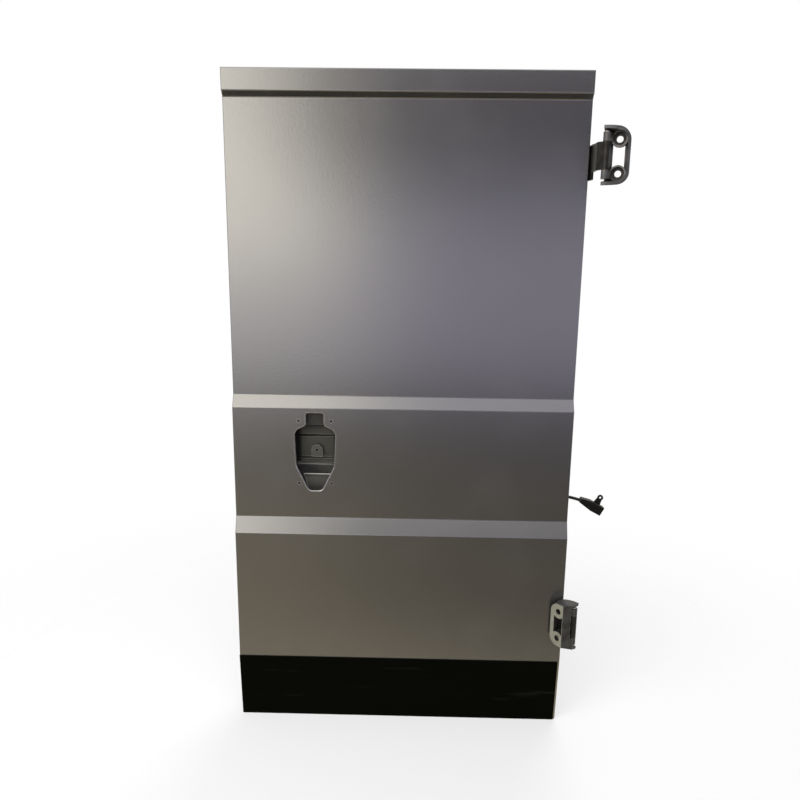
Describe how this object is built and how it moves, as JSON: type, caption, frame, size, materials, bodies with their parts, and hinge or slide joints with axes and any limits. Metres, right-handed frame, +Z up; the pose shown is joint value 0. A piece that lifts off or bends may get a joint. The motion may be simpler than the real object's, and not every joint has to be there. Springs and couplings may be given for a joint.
{
  "type": "campervan rear barn door",
  "caption": "Pressed-steel rear barn door with stepped skin, inner panel, bare handle opening, swinging cast hinge leaves and a short wiring lead.",
  "frame": {"origin": "on the upper hinge leaf's flat mounting face, midway up its far band", "axes": "+Z up along the hinge pins, +X towards the hinge side, +Y into the van; the door's outer face looks along -Y"},
  "size_m": [0.8928, 0.1314, 1.548],
  "materials": {
    "body_paint": "satin metallic grey paint",
    "inner_paint": "thin grey primer and paint",
    "moulding_plastic": "fine-grained black plastic",
    "hinge_paint": "painted casting with scuffs",
    "pin_steel": "plain turned steel",
    "bush_bronze": "sintered bronze",
    "black_rubber": "matt rubber",
    "black_conduit": "corrugated plastic",
    "connector_plastic": "moulded plastic with dust"
  },
  "bodies": {
    "upper_leaf": {"upper_hinge_leaf": "hinge_paint", "upper_hinge_pin": "pin_steel"},
    "door": {"outer_skin": "body_paint", "upper_inner_panel": "inner_paint", "lower_inner_panel": "inner_paint", "upper_stiffener": "inner_paint", "waist_stiffener": "inner_paint", "lower_stiffener": "inner_paint", "lower_moulding": "moulding_plastic", "handle_carrier": "inner_paint", "lock_bracket": "inner_paint", "lock_tab": "inner_paint", "harness_grommet": "black_rubber", "harness_lead": "black_conduit", "connector_body": "connector_plastic", "connector_lug": "connector_plastic", "upper_hinge_arm": "hinge_paint", "upper_hinge_bushes": "bush_bronze", "upper_hinge_plate": "inner_paint", "lower_hinge_arm": "hinge_paint", "lower_hinge_bushes": "bush_bronze", "lower_hinge_plate": "inner_paint"},
    "lower_leaf": {"lower_hinge_leaf": "hinge_paint", "lower_hinge_pin": "pin_steel"}
  },
  "joints": [
    {"name": "door_swing", "type": "hinge", "parent": "upper_leaf", "child": "door", "pos_m": [-0.04881, -0.01203, 0], "axis": [0, 0, 1], "range_deg": [-20, 160]},
    {"name": "lower_leaf_swing", "type": "hinge", "parent": "door", "child": "lower_leaf", "pos_m": [-0.04881, -0.01203, -1.081], "axis": [0, 0, -1], "range_deg": [-231, 0]}
  ]
}
